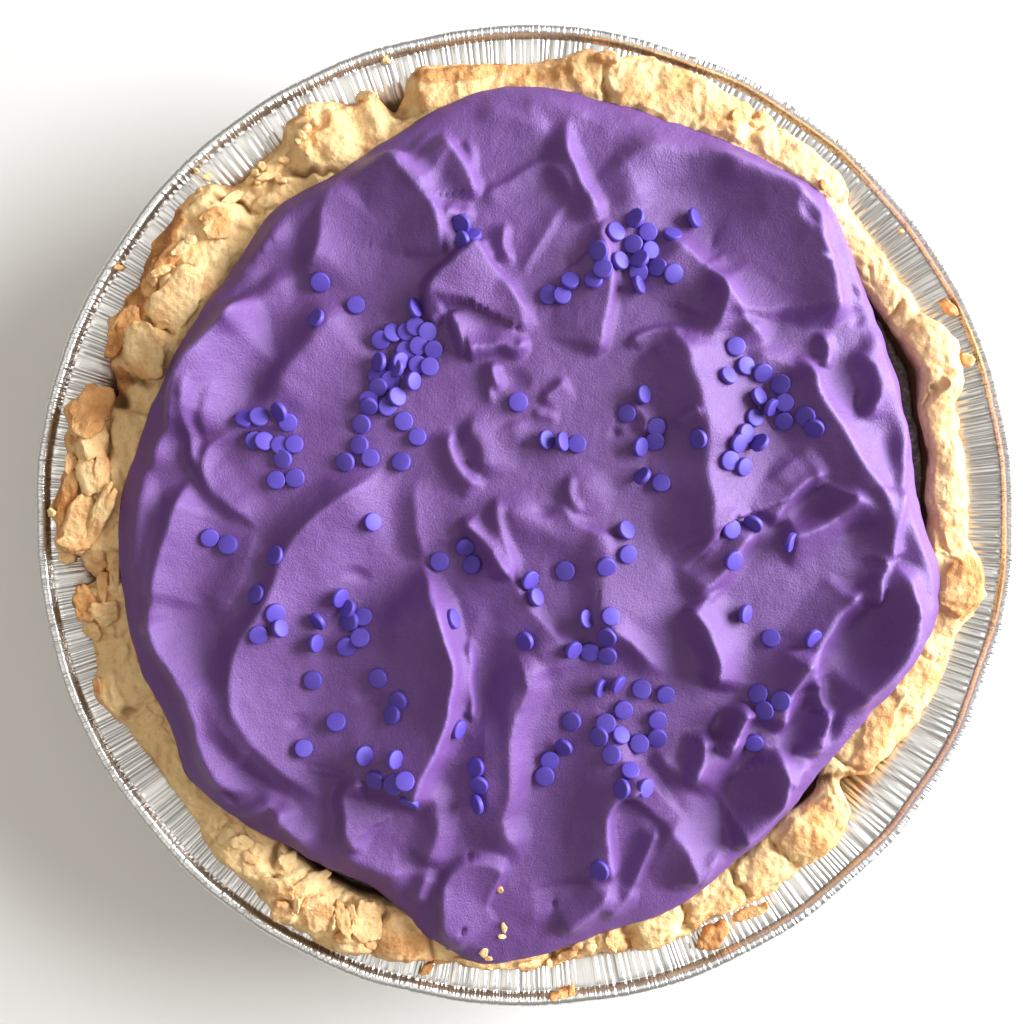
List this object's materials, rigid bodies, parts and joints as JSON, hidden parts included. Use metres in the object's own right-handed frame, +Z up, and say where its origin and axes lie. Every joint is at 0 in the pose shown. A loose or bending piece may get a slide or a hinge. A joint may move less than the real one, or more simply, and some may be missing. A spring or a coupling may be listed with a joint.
{
  "type": "ube pie",
  "caption": "Round ube cream pie in a pleated foil tin: flaky crust, dark ube filling and a low dome of purple whipped cream worked with a spatula.",
  "frame": {"origin": "middle of the tin's foot, on the table", "axes": "+Z up; +Y towards the top of the picture and +X towards its right"},
  "size_m": [0.222, 0.222, 0.0438],
  "materials": {
    "foil": "bright embossed foil",
    "pastry": "baked shortcrust pastry, matt and flaky, browned at the edges",
    "filling": "dense dark ube filling, matt and crumbly",
    "cream": "whipped ube cream, matt with a fine grain",
    "sprinkles": "pressed sugar discs, matt"
  },
  "bodies": {
    "root": {"foil_tin": "foil", "pie_crust": "pastry", "ube_filling": "filling", "whipped_cream": "cream"}
  },
  "joints": []
}
